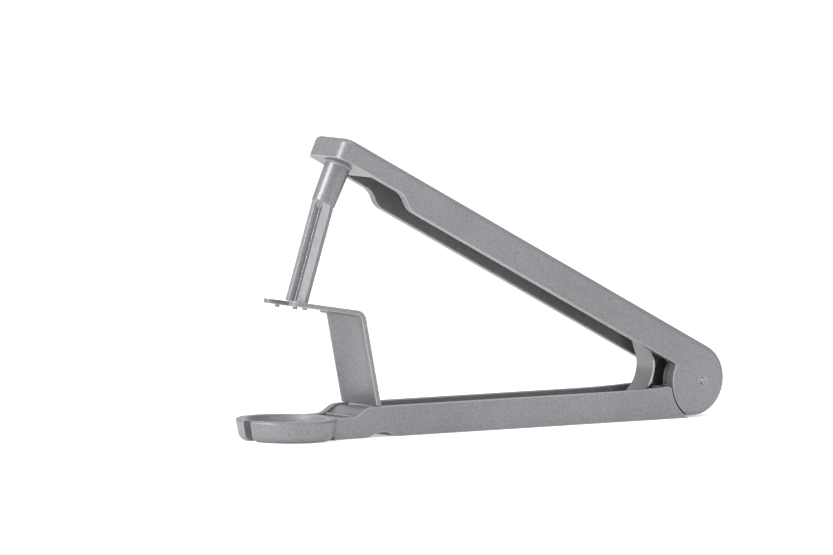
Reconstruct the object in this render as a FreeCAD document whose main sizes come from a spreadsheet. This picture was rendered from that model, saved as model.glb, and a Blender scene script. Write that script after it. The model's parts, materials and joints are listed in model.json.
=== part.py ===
import FreeCAD, Part
import math
import os
import Sketcher
from FreeCAD import Vector

# Cherry pitter with lever: a cast lower arm with an open cup, a sprung cast lever that
# carries the plunger, and a forked hold-down bracket between them.
# X runs from the cup to the hinge, Y across the arms, Z up from the table.
# The model stands open, as it rests. Lengths are in millimetres, angles in degrees.

SIZES = [
    ("overall_length", 167.0, "front of the cup to the back of the hinge"),
    ("arm_width", 16.4, "outside width of both arms"),
    ("wall", 2.0, "side walls of both channels"),
    ("arm_height", 8.6, "side walls of the lower arm, above the table"),
    ("heel_lift", 0.6, "rise of those walls at the hinge"),
    ("heel_rise", 21.0, "length over which the walls rise to the hinge"),
    ("arm_floor", 1.8, "floor of the lower channel"),
    ("seat_floor", 3.4, "thicker floor under the bracket"),
    ("seat_length", 19.0, "length of the thicker floor behind the cup"),
    ("cup_dia", 28.6, "outside of the cup at its rim"),
    ("cup_foot_dia", 26.0, "outside of the cup at the table"),
    ("cup_height", 6.0, "rim of the cup above the table"),
    ("bowl_dia", 23.2, "mouth of the bowl that the fruit sits in"),
    ("stone_hole_dia", 14.0, "hole that the stone drops through"),
    ("stone_hole_depth", 1.3, "height of the straight wall of that hole"),
    ("bowl_radius", 13.0, "curve of the bowl in section"),
    ("stem_slot", 3.5, "gap at the front of the cup"),
    ("step_start", 16.6, "cup axis to the low end of the step in the walls"),
    ("step_length", 7.6, "length of the step in the walls"),
    ("notch_place", 28.3, "cup axis to the middle of the arch under the arm"),
    ("notch_front", 7.4, "soft front end of the arch under the arm"),
    ("notch_back", 4.8, "steeper back end of the arch"),
    ("notch_flat", 1.6, "flat top of the arch"),
    ("notch_height", 1.4, "height of the arch under the arm"),
    ("hinge_height", 10.4, "hinge axis above the table"),
    ("pin_dia", 3.0, "hinge pin"),
    ("pin_play", 0.05, "radial running play of the hinge pin in the lever"),
    ("pin_grip", 0.02, "radial play of the hinge pin in the lower arm"),
    ("pin_recess", 0.35, "each pin end below the face of the ear"),
    ("ear_radius", 10.9, "front of the round ears, about the hinge axis"),
    ("ear_gap", 0.7, "between the ears and the arm's hollow end"),
    ("ear_wall", 2.6, "thickness of each ear"),
    ("side_play", 0.15, "between each lug and the ear beside it"),
    ("lug_radius", 5.9, "round end of the arm's inner lugs"),
    ("lug_wall", 3.2, "thickness of each inner lug"),
    ("lug_front", 9.8, "front of the lugs, about the hinge axis"),
    ("lug_peak", 35.0, "angle of the lugs' front top corner from upright"),
    ("lip_angle", 35.0, "lower edge of the lever's back wall, below level"),
    ("root_length", 14.2, "hinge axis to the front of the lug block"),
    ("open_angle", 25.9, "rise of the lever when it rests open"),
    ("tail_radius", 10.2, "rounded back of the lever"),
    ("tail_ahead", 1.9, "centre of that round ahead of the hinge axis"),
    ("nose_overhang", 4.6, "lever's front face past the cup's distance from the hinge"),
    ("lever_top", 9.7, "top of the lever above the hinge axis"),
    ("lever_edge", 0.3, "deep walls' edge above the hinge axis"),
    ("lever_step", 3.1, "height of the step to the shallow front walls"),
    ("lever_step_inset", 31.0, "lever's front face to the start of that step"),
    ("lever_step_length", 8.0, "length of that step"),
    ("crown", 2.0, "top wall of the lever"),
    ("nose_length", 13.7, "solid block at the front of the lever"),
    ("nose_round", 3.3, "upright front corners of the lever"),
    ("boss_inset", 6.2, "lever's front face to the middle of the plunger's boss"),
    ("boss_dia", 7.4, "boss where it meets the lever"),
    ("boss_tip_dia", 6.5, "boss at its lower end"),
    ("boss_length", 12.0, "length of the boss"),
    ("spigot_dia", 4.0, "plunger's spigot in the lever"),
    ("spigot_length", 4.0, "length of that spigot"),
    ("spigot_play", 0.02, "radial play of the spigot in its hole"),
    ("shank_tilt", 9.2, "shank's lean from the boss, back to the hinge"),
    ("shank_length", 28.6, "shank below the boss"),
    ("shank_dia", 6.1, "shank across the tips of its fins"),
    ("fin", 1.7, "thickness of the fins"),
    ("star_turn", 17.0, "turn of the fins about the shank's axis"),
    ("boss_taper", 3.2, "height of the cone below the boss that the fins run out on"),
    ("plate_front", -3.4, "prong tips from the cup axis"),
    ("plate_top", 39.2, "top of the prong tips above the table"),
    ("plate_tilt", 8.6, "fall of the plate towards the hinge"),
    ("plate_length", 26.8, "plate from prong tips to the upright's back"),
    ("prong_round", 2.4, "outer corners of the prong tips"),
    ("plate_width", 15.8, "width of the bracket"),
    ("plate_wall", 1.3, "thickness of the plate"),
    ("fork_slot", 8.2, "gap between the prongs"),
    ("fork_depth", 12.4, "length of that gap"),
    ("upright_tilt", 13.3, "upright's lean towards the cup"),
    ("upright_wall", 1.4, "thickness of the upright"),
    ("upright_hollow", 17.0, "radius of the upright's hollow face"),
    ("bend_round", 3.2, "outside of the bend between plate and upright"),
    ("nub_dia", 1.4, "small nubs under the prongs"),
    ("nub_place", 4.8, "prong tips to the first nub"),
    ("nub_pitch", 6.4, "first nub to the second"),
    ("foot_play", 0.1, "between the bracket's foot and the channel walls"),
    ("foot_height", 8.2, "top of the bracket's foot above the table"),
    ("foot_length", 12.0, "length of the bracket's foot"),
    ("screw_place", 27.2, "cup axis to the bracket's screw"),
    ("screw_dia", 3.0, "shank of the bracket's screw"),
    ("screw_head_dia", 5.0, "head of that screw"),
    ("screw_head", 0.9, "height of that head"),
    ("screw_length", 5.4, "shank of the screw under its head"),
    ("screw_play", 0.02, "radial play of the screw in both holes"),
    ("leaf_wall", 0.7, "thickness of the spring"),
    ("leaf_width", 7.4, "width of the spring"),
    ("leaf_bend", 9.6, "large bend of the spring, to its middle line"),
    ("leaf_bend_ahead", 24.0, "centre of that bend ahead of the hinge axis"),
    ("leaf_bend_height", 4.7, "centre of that bend above the hinge axis"),
    ("leaf_lower_turn", 50.0, "bend below its middle, down to the lower leg"),
    ("leaf_upper_turn", 24.0, "bend above its middle, up to the upper leg"),
    ("leaf_foot_bend", 3.0, "small bends at both feet"),
    ("leaf_foot_length", 9.0, "flat feet of the spring"),
    ("leaf_play", 0.05, "between the spring's feet and the channels"),
    ("peg_dia", 2.4, "peg that holds the spring's lower foot"),
    ("peg_play", 0.2, "radial play of that peg in the foot"),
    ("peg_ahead", 6.2, "peg ahead of the centre of the large bend"),
    ("edge_round", 0.6, "rounded edges of the castings"),
    ("foot_round", 2.2, "rounded lower edge of the cup"),
    ("ring_fillet", 4.0, "hollow corners between the cup and the arm"),
    ("crown_round", 1.5, "long top edges of the lever"),
    ("ear_fillet", 1.2, "hollow corner between the ears and the lever's walls"),
    ("ear_draft", 0.35, "how far the ears' faces taper in below the parting line"),
]

doc = FreeCAD.newDocument("cherry_pitter")
sheet = doc.addObject("Spreadsheet::Sheet", "Sizes")
for row, (alias, value, note) in enumerate(SIZES, start=1):
    sheet.set(f"A{row}", note)
    sheet.set(f"B{row}", str(value))
    sheet.setAlias(f"B{row}", alias)
doc.recompute()


class Size:
    """A number together with the expression that binds it to the sheet."""

    def __init__(self, value, text):
        self.value = float(value)
        self.text = text

    def __add__(self, other):
        other = as_size(other)
        return Size(self.value + other.value, f"({self.text} + {other.text})")

    def __radd__(self, other):
        return as_size(other) + self

    def __sub__(self, other):
        other = as_size(other)
        return Size(self.value - other.value, f"({self.text} - {other.text})")

    def __rsub__(self, other):
        return as_size(other) - self

    def __mul__(self, other):
        other = as_size(other)
        return Size(self.value * other.value, f"({self.text} * {other.text})")

    def __rmul__(self, other):
        return as_size(other) * self

    def __truediv__(self, other):
        other = as_size(other)
        return Size(self.value / other.value, f"({self.text} / {other.text})")

    def __neg__(self):
        return Size(-self.value, f"(0 - {self.text})")


def as_size(number):
    return number if isinstance(number, Size) else Size(number, f"{number:.6g}")


def size(alias):
    return Size(sheet.get(alias), f"Sizes.{alias}")


def root(number):
    return Size(math.sqrt(number.value), f"sqrt({number.text})")


def sine(angle):
    return Size(math.sin(math.radians(angle.value)), f"sin({angle.text})")


def cosine(angle):
    return Size(math.cos(math.radians(angle.value)), f"cos({angle.text})")


def tangent(angle):
    return sine(angle) / cosine(angle)


def keep(alias, number):
    """Store a worked-out size in the sheet, so that later expressions stay short."""
    row = len(SIZES) + 2 + len(kept)
    sheet.set(f"B{row}", "=" + number.text.replace("Sizes.", ""))
    sheet.setAlias(f"B{row}", alias)
    kept.append(alias)
    doc.recompute()
    return size(alias)


kept = []

# Places that follow from the driving dimensions.
arm_width = size("arm_width")
wall = size("wall")
half_arm = arm_width / 2
half_channel = half_arm - wall
half_lever_bay = half_arm - size("ear_wall")
cup_radius = size("cup_dia") / 2
foot_radius = size("cup_foot_dia") / 2
cup_x = keep("cup_x", cup_radius - size("overall_length") / 2)

open_sine = keep("open_sine", sine(size("open_angle")))
open_cosine = keep("open_cosine", cosine(size("open_angle")))
tail_x = -size("tail_ahead")
tail_z = size("lever_top") - size("tail_radius")
tail_back = tail_x * open_cosine + tail_z * open_sine + size("tail_radius")
hinge_x = keep("hinge_x", size("overall_length") / 2 - tail_back)
hinge_z = size("hinge_height")
tail_bottom = keep("tail_bottom", tail_z * open_cosine - tail_x * open_sine - size("tail_radius"))
ear_radius = size("ear_radius")
ear_corner = keep("ear_corner", root(ear_radius * ear_radius - tail_bottom * tail_bottom))
heel_height = keep("heel_height", size("arm_height") + size("heel_lift"))
shallow_edge = size("lever_edge") + size("lever_step")
ceiling = size("lever_top") - size("crown")
lever_reach = keep("lever_reach", hinge_x - cup_x + size("nose_overhang"))
boss_place = lever_reach - size("boss_inset")
half_lug = half_lever_bay - size("side_play")


def plane_of(body, role):
    return [item for item in body.Origin.OriginFeatures if item.Role == role][0]


def bind(feature, name, number):
    """Set a feature's size and bind it to the sheet."""
    feature.setExpression(name, as_size(number).text)


def new_body(name):
    body = doc.addObject("PartDesign::Body", name)
    body.Label = name
    return body


def new_sketch(body, name, role, shift=None, lean=None):
    """A sketch on one of the body's own planes, moved by shift = (x, y, z) in the plane's axes.

    lean = (sense, angle) turns it about its own y axis.
    """
    sketch = body.newObject("Sketcher::SketchObject", name)
    sketch.AttachmentSupport = [(plane_of(body, role), "")]
    sketch.MapMode = "FlatFace"
    if shift:
        numbers = [as_size(part) for part in shift]
        turn = FreeCAD.Rotation()
        if lean:
            turn = FreeCAD.Rotation(Vector(0, lean[0], 0), lean[1].value)
        base = Vector(*[number.value for number in numbers])
        sketch.AttachmentOffset = FreeCAD.Placement(base, turn)
        for letter, number in zip("xyz", numbers):
            bind(sketch, f"AttachmentOffset.Base.{letter}", number)
        if lean:
            bind(sketch, "AttachmentOffset.Rotation.Angle", lean[1])
    return sketch


def place_point(sketch, geometry, position, x, y):
    for kind, number in (("DistanceX", x), ("DistanceY", y)):
        number = as_size(number)
        index = sketch.addConstraint(
            Sketcher.Constraint(kind, -1, 1, geometry, position, number.value)
        )
        sketch.setExpression(f"Constraints[{index}]", number.text)


def circle(sketch, x, y, radius):
    """A circle whose centre and radius are bound to the sheet."""
    x, y, radius = as_size(x), as_size(y), as_size(radius)
    shape = Part.Circle(Vector(x.value, y.value, 0), Vector(0, 0, 1), radius.value)
    geometry = sketch.addGeometry(shape)
    place_point(sketch, geometry, 3, x, y)
    index = sketch.addConstraint(Sketcher.Constraint("Radius", geometry, radius.value))
    sketch.setExpression(f"Constraints[{index}]", radius.text)


def arc_geometry(start, end, radius, turn):
    """The arc of under a half circle from start to end; turn is +1 to the left, -1 to the right."""
    chord = end - start
    middle = (start + end) * 0.5
    height = math.sqrt(max(radius * radius - chord.Length ** 2 / 4, 0.0))
    normal = Vector(-chord.y, chord.x, 0).normalize() * turn
    centre = middle + normal * height
    first, last = (start, end) if turn > 0 else (end, start)
    angles = [math.atan2(point.y - centre.y, point.x - centre.x) for point in (first, last)]
    return Part.ArcOfCircle(Part.Circle(centre, Vector(0, 0, 1), radius), *angles)


def outline(sketch, corners, arcs=()):
    """A closed outline through corners; arcs maps a side's number to (radius, turn)."""
    arcs = dict(arcs)
    corners = [(as_size(x), as_size(y)) for x, y in corners]
    points = [Vector(x.value, y.value, 0) for x, y in corners]
    count = len(corners)
    ends = []
    for side in range(count):
        start, end = points[side], points[(side + 1) % count]
        if side in arcs:
            radius, turn = as_size(arcs[side][0]), arcs[side][1]
            geometry = sketch.addGeometry(arc_geometry(start, end, radius.value, turn))
            index = sketch.addConstraint(Sketcher.Constraint("Radius", geometry, radius.value))
            sketch.setExpression(f"Constraints[{index}]", radius.text)
            ends.append((geometry, 1, 2) if turn > 0 else (geometry, 2, 1))
        else:
            geometry = sketch.addGeometry(Part.LineSegment(start, end))
            ends.append((geometry, 1, 2))
    for side in range(count):
        geometry, _, last = ends[side]
        following, first, _ = ends[(side + 1) % count]
        sketch.addConstraint(Sketcher.Constraint("Coincident", geometry, last, following, first))
    for side in range(count):
        geometry, first, _ = ends[side]
        place_point(sketch, geometry, first, *corners[side])


def box_outline(sketch, low, high):
    outline(sketch, [low, (high[0], low[1]), high, (low[0], high[1])])


def pad(body, name, sketch, length, symmetric=True, back=False):
    feature = body.newObject("PartDesign::Pad", name)
    feature.Profile = sketch
    feature.SideType = "Symmetric" if symmetric else "One side"
    feature.Reversed = back
    bind(feature, "Length", length)
    doc.recompute()
    return feature


def pocket(body, name, sketch, length, symmetric=True, back=False):
    before = body.Shape.Volume
    feature = body.newObject("PartDesign::Pocket", name)
    feature.Profile = sketch
    feature.SideType = "Symmetric" if symmetric else "One side"
    feature.Reversed = back
    bind(feature, "Length", length)
    doc.recompute()
    if feature.Shape.Volume >= before - 1e-6:
        raise RuntimeError(f"{body.Label}: {name} cuts nothing")
    return feature


def spin(body, kind, name, sketch):
    """A full turn of a section about the sketch's own upright axis."""
    feature = body.newObject(kind, name)
    feature.Profile = sketch
    feature.ReferenceAxis = (sketch, ["V_Axis"])
    feature.Angle = 360
    doc.recompute()
    return feature


def round_edges(body, name, radius, wanted):
    """Round every edge of the body that the test picks by its middle point and direction."""
    shape = body.Tip.Shape
    names = []
    for number, edge in enumerate(shape.Edges, start=1):
        middle = edge.valueAt((edge.FirstParameter + edge.LastParameter) / 2)
        along = edge.tangentAt((edge.FirstParameter + edge.LastParameter) / 2)
        if wanted(middle, along, edge):
            names.append(f"Edge{number}")
    if not names:
        raise RuntimeError(f"{body.Label}: {name} finds no edge")
    feature = body.newObject("PartDesign::Fillet", name)
    feature.Base = (body.Tip if body.Tip != feature else feature.BaseFeature, names)
    bind(feature, "Radius", radius)
    doc.recompute()
    if feature.Shape.isNull() or not feature.Shape.isValid():
        raise RuntimeError(f"{body.Label}: {name} can't be rounded")
    return feature


def ogee_radius(run, rise):
    """Radius of the two equal arcs of a soft step of that run and rise."""
    return (run * run + rise * rise) / (rise * 4)


def make_lower_arm():
    """Cast channel with the cup at its front and two inner lugs at the hinge."""
    body = new_body("lower_arm")

    # The cup: a turned blank with a drafted outside.
    section = new_sketch(body, "cup_section", "XZ_Plane", (cup_x, 0, 0))
    outline(section, [(0, 0), (foot_radius, 0), (cup_radius, size("cup_height")), (0, size("cup_height"))])
    spin(body, "PartDesign::Revolution", "cup_blank", section)
    rim = size("cup_height").value
    round_edges(
        body, "cup_foot_round", size("foot_round"),
        lambda middle, along, edge: abs(middle.z) < 0.01 and edge.Length > 1,
    )
    round_edges(
        body, "cup_rim_round", size("edge_round"),
        lambda middle, along, edge: abs(middle.z - rim) < 0.01 and edge.Length > 1,
    )

    # The arm's side, with the arch below, the hollow end at the hinge and the step to the cup.
    side = new_sketch(body, "arm_side", "XZ_Plane")
    start_x = cup_x + root(foot_radius * foot_radius - half_arm * half_arm) - wall / 2
    notch_x = cup_x + size("notch_place")
    notch_top = size("notch_height")
    half_flat = size("notch_flat") / 2
    front_run = size("notch_front") - half_flat
    back_run = size("notch_back") - half_flat
    end_radius = ear_radius + size("ear_gap")
    heel = heel_height
    corner = size("edge_round") * 2
    end_bottom = hinge_x - root(end_radius * end_radius - hinge_z * hinge_z)
    corner_drop = hinge_z - heel + corner
    end_top = hinge_x - root(end_radius * end_radius - corner_drop * corner_drop)
    arm_height = size("arm_height")
    rise = size("heel_lift")
    rise_run = size("heel_rise")
    rise_radius = (rise_run * rise_run + rise * rise) / (rise * 2)
    step_low = cup_x + size("step_start")
    step_run = size("step_length")
    step_drop = arm_height - size("cup_height")
    step_radius = ogee_radius(step_run, step_drop)
    front_radius = ogee_radius(front_run, notch_top)
    back_radius = ogee_radius(back_run, notch_top)
    corners = [
        (start_x, 0),
        (notch_x - half_flat - front_run, 0),
        (notch_x - half_flat - front_run / 2, notch_top / 2),
        (notch_x - half_flat, notch_top),
        (notch_x + half_flat, notch_top),
        (notch_x + half_flat + back_run / 2, notch_top / 2),
        (notch_x + half_flat + back_run, 0),
        (end_bottom, 0),
        (end_top, heel - corner),
        (end_top - corner, heel),
        (end_top - corner - rise_run, arm_height),
        (step_low + step_run, arm_height),
        (step_low + step_run / 2, size("cup_height") + step_drop / 2),
        (step_low, size("cup_height")),
        (start_x, size("cup_height")),
    ]
    arcs = {
        1: (front_radius, 1),
        2: (front_radius, -1),
        4: (back_radius, -1),
        5: (back_radius, 1),
        7: (end_radius, -1),
        8: (corner, 1),
        9: (rise_radius, -1),
        11: (step_radius, 1),
        12: (step_radius, -1),
    }
    outline(side, corners, arcs)
    pad(body, "arm_blank", side, arm_width)

    # Hollow corners where the arm runs into the cup.
    web = new_sketch(body, "web_plan", "XY_Plane")
    fillet = size("ring_fillet")
    middle_radius = (cup_radius + foot_radius) / 2
    spread = middle_radius + fillet
    bend_y = half_arm + fillet
    bend_x = root(spread * spread - bend_y * bend_y)
    share = middle_radius / spread
    touch = (cup_x + bend_x * share, bend_y * share)
    outline(
        web,
        [
            (touch[0], -touch[1]),
            (cup_x + bend_x, -half_arm),
            (cup_x + bend_x, half_arm),
            touch,
        ],
        {0: (fillet, -1), 2: (fillet, -1)},
    )
    pad(body, "web", web, size("cup_height"), symmetric=False)

    # The bowl and the stone's hole through it.
    bowl = new_sketch(body, "bowl_section", "XZ_Plane", (cup_x, 0, 0))
    over = size("cup_height") * 2
    outline(
        bowl,
        [
            (0, -size("cup_height")),
            (size("stone_hole_dia") / 2, -size("cup_height")),
            (size("stone_hole_dia") / 2, size("stone_hole_depth")),
            (size("bowl_dia") / 2, size("cup_height")),
            (size("bowl_dia") / 2, over),
            (0, over),
        ],
        {2: (size("bowl_radius"), 1)},
    )
    spin(body, "PartDesign::Groove", "bowl", bowl)

    # The stem's slot between the two prongs of the cup.
    slot = new_sketch(body, "stem_slot_plan", "XY_Plane")
    half_slot = size("stem_slot") / 2
    box_outline(slot, (cup_x - cup_radius - wall, -half_slot), (cup_x, half_slot))
    pocket(body, "stem_slot_cut", slot, over * 2)

    # The channel, open above, with a thicker floor where the bracket is seated.
    channel = new_sketch(body, "channel_side", "XZ_Plane")
    channel_front = cup_x + cup_radius + size("foot_play")
    seat_end = channel_front + size("seat_length")
    drop = size("seat_floor") - size("arm_floor")
    channel_back = hinge_x - size("root_length")
    outline(
        channel,
        [
            (channel_front, size("seat_floor")),
            (seat_end, size("seat_floor")),
            (seat_end + drop, size("arm_floor")),
            (channel_back, size("arm_floor")),
            (channel_back, heel * 2),
            (channel_front, heel * 2),
        ],
    )
    pocket(body, "channel", channel, half_channel * 2)

    # The peg for the spring's lower foot.
    peg = new_sketch(body, "peg_plan", "XY_Plane", (0, 0, size("arm_floor") / 2))
    circle(peg, spring_peg_x, 0, size("peg_dia") / 2)
    pad(body, "peg", peg, size("arm_floor") / 2 + size("leaf_wall") * 2, symmetric=False)

    # Two lugs that stand between the lever's ears.
    lug_radius = size("lug_radius")
    lug_front = size("lug_front")
    peak = size("lug_peak")
    shelf_x = hinge_x - root(lug_front * lug_front - (hinge_z - heel) * (hinge_z - heel))
    lug = new_sketch(body, "lug_side", "XZ_Plane")
    outline(
        lug,
        [
            (hinge_x, hinge_z - lug_radius),
            (hinge_x + lug_radius, hinge_z),
            (hinge_x, hinge_z + lug_radius),
            (hinge_x - lug_front * sine(peak), hinge_z + lug_front * cosine(peak)),
            (shelf_x, heel),
            (channel_back + wall / 2, heel),
            (channel_back + wall / 2, hinge_z - lug_radius),
        ],
        {0: (lug_radius, 1), 1: (lug_radius, 1), 3: (lug_front, 1)},
    )
    pad(body, "lugs", lug, half_lug * 2)
    gap = new_sketch(body, "lug_gap_plan", "XY_Plane", (0, 0, size("arm_floor")))
    half_gap = half_lug - size("lug_wall")
    box_outline(gap, (channel_back - wall, -half_gap), (hinge_x + lug_radius * 2, half_gap))
    pocket(body, "lug_gap", gap, hinge_z * 3, symmetric=False, back=True)

    bore = new_sketch(body, "lug_bore_side", "XZ_Plane")
    circle(bore, hinge_x, hinge_z, size("pin_dia") / 2 + size("pin_grip"))
    pocket(body, "lug_bore", bore, arm_width * 2)

    hole = new_sketch(body, "screw_hole_plan", "XY_Plane")
    circle(hole, screw_x, 0, size("screw_dia") / 2 + size("screw_play"))
    pocket(body, "screw_hole", hole, size("arm_height") * 2)
    recess = new_sketch(body, "screw_recess_plan", "XY_Plane")
    circle(recess, screw_x, 0, size("screw_head_dia") / 2 + size("foot_play"))
    pocket(body, "screw_recess", recess, size("notch_height"), symmetric=False, back=True)
    return body


def lever_placement(body):
    """Stand a body of the lever on the hinge axis, raised by the open angle."""
    body.Placement = FreeCAD.Placement(
        Vector(hinge_x.value, 0, hinge_z.value),
        FreeCAD.Rotation(Vector(0, 1, 0), size("open_angle").value),
    )
    bind(body, "Placement.Base.x", hinge_x)
    bind(body, "Placement.Base.z", hinge_z)
    bind(body, "Placement.Rotation.Angle", size("open_angle"))


def turned_back(x, z):
    """A point given level and upright about the hinge axis, in the lever's own frame."""
    return x * open_cosine - z * open_sine, x * open_sine + z * open_cosine


def make_upper_lever():
    """Cast inverted channel: solid nose, stepped side walls and round ears at the hinge."""
    body = new_body("upper_lever")
    side = new_sketch(body, "lever_side", "XZ_Plane")
    front = -lever_reach
    top = size("lever_top")
    edge = size("lever_edge")
    tail_radius = size("tail_radius")
    low_x, low_z = turned_back(tail_x * open_cosine + tail_z * open_sine, tail_bottom)
    ear_x, ear_z = turned_back(-ear_corner, tail_bottom)
    step_start = size("lever_step_inset") - lever_reach
    step_run = size("lever_step_length")
    step_rise = size("lever_step")
    step_radius = ogee_radius(step_run, step_rise)
    corners = [
        (front, shallow_edge),
        (step_start - step_run, shallow_edge),
        (step_start - step_run / 2, edge + step_rise / 2),
        (step_start, edge),
        (-root(ear_radius * ear_radius - edge * edge), edge),
        (ear_x, ear_z),
        (low_x, low_z),
        (tail_x + tail_radius, tail_z),
        (tail_x, top),
        (front, top),
    ]
    arcs = {
        1: (step_radius, -1),
        2: (step_radius, 1),
        4: (ear_radius, 1),
        6: (tail_radius, 1),
        7: (tail_radius, 1),
    }
    outline(side, corners, arcs)
    pad(body, "lever_blank", side, arm_width)

    # The channel below the crown, closed at the front by the nose.
    channel = new_sketch(body, "channel_plan", "XY_Plane", (0, 0, -ear_radius))
    channel_front = front + size("nose_length")
    bay_front = -ear_radius - wall
    box_outline(channel, (channel_front, -half_channel), (bay_front, half_channel))
    pocket(body, "channel", channel, ceiling + ear_radius, symmetric=False, back=True)

    # The hinge bay between the ears, with a wall round its back.
    bay = new_sketch(body, "bay_side", "XZ_Plane")
    inner = tail_radius - wall
    lip_x = tail_x + inner * cosine(size("lip_angle"))
    lip_z = tail_z - inner * sine(size("lip_angle"))
    outline(
        bay,
        [
            (bay_front - wall, -ear_radius * 2),
            (lip_x, -ear_radius * 2),
            (lip_x, lip_z),
            (tail_x + inner, tail_z),
            (tail_x, ceiling),
            (bay_front - wall, ceiling),
        ],
        {2: (inner, 1), 3: (inner, 1)},
    )
    pocket(body, "hinge_bay", bay, half_lever_bay * 2)

    bore = new_sketch(body, "ear_bore_side", "XZ_Plane")
    circle(bore, 0, 0, size("pin_dia") / 2 + size("pin_play"))
    pocket(body, "ear_bore", bore, arm_width * 2)

    # The blind hole for the plunger's spigot.
    hole = new_sketch(body, "spigot_plan", "XY_Plane")
    circle(hole, -boss_place, 0, size("spigot_dia") / 2 + size("spigot_play"))
    spigot_top = shallow_edge + size("spigot_length") + size("foot_play")
    pocket(body, "spigot_hole", hole, spigot_top, symmetric=False, back=True)

    # The ears' outer faces taper in below the parting line.
    taper = new_sketch(body, "ear_draft_section", "YZ_Plane")
    low = -ear_radius - size("ear_gap")
    for side in (-1, 1):
        outline(
            taper,
            [
                (half_arm * side, edge),
                ((half_arm - size("ear_draft")) * side, low),
                ((half_arm + wall) * side, low),
                ((half_arm + wall) * side, edge),
            ],
        )
    pocket(body, "ear_draft_cut", taper, lever_reach * 3)

    reach = lever_reach.value
    top_z = top.value
    ear_front = -math.sqrt(ear_radius.value ** 2 - edge.value ** 2)
    round_edges(
        body, "nose_corners", size("nose_round"),
        lambda middle, along, edge: abs(middle.x + reach) < 0.01 and abs(along.z) > 0.99,
    )
    round_edges(
        body, "crown_edges", size("crown_round"),
        lambda middle, along, edge: abs(middle.z - top_z) < 0.01
        and abs(abs(middle.y) - half_arm.value) < 0.01,
    )
    round_edges(
        body, "ear_corners", size("ear_fillet"),
        lambda middle, along, edge: abs(middle.x - ear_front) < 0.05
        and abs(middle.z - size("lever_edge").value) < 0.05 and abs(along.y) > 0.99,
    )
    lever_placement(body)
    return body


def make_plunger():
    """Tapered boss with a spigot above it and a leaning shank of crossed fins below."""
    body = new_body("plunger")
    place = -boss_place
    boss = new_sketch(body, "boss_section", "XZ_Plane", (place, 0, 0))
    boss_end = shallow_edge - size("boss_length")
    spigot_top = shallow_edge + size("spigot_length")
    outline(
        boss,
        [
            (0, boss_end - size("boss_taper")),
            (size("fin") / 8, boss_end - size("boss_taper")),
            (size("boss_tip_dia") / 2, boss_end),
            (size("boss_dia") / 2, shallow_edge),
            (size("spigot_dia") / 2, shallow_edge),
            (size("spigot_dia") / 2, spigot_top),
            (0, spigot_top),
        ],
    )
    spin(body, "PartDesign::Revolution", "boss", boss)

    # The shank leans back towards the hinge: four fins round one axis, up into the boss.
    tilt = size("shank_tilt")
    run_in = size("fin") / 2
    start = (place + run_in * sine(tilt) * -1, 0, boss_end + run_in * cosine(tilt))
    star = new_sketch(body, "star_section", "XY_Plane", start, (-1, tilt))
    half_fin = size("fin") / 2
    tip = size("shank_dia") / 2
    turn_cosine = cosine(size("star_turn"))
    turn_sine = sine(size("star_turn"))
    quarter = [(half_fin, half_fin), (tip, half_fin), (tip, -half_fin)]
    corners = []
    for x_x, x_y, y_x, y_y in ((1, 0, 0, 1), (0, -1, 1, 0), (-1, 0, 0, -1), (0, 1, -1, 0)):
        for x, y in quarter[::-1]:
            across = x * x_x + y * x_y
            aside = x * y_x + y * y_y
            corners.append((
                across * turn_cosine - aside * turn_sine,
                across * turn_sine + aside * turn_cosine,
            ))
    outline(star, corners)
    pad(body, "shank", star, size("shank_length") + run_in, symmetric=False, back=True)
    lever_placement(body)
    return body


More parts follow.
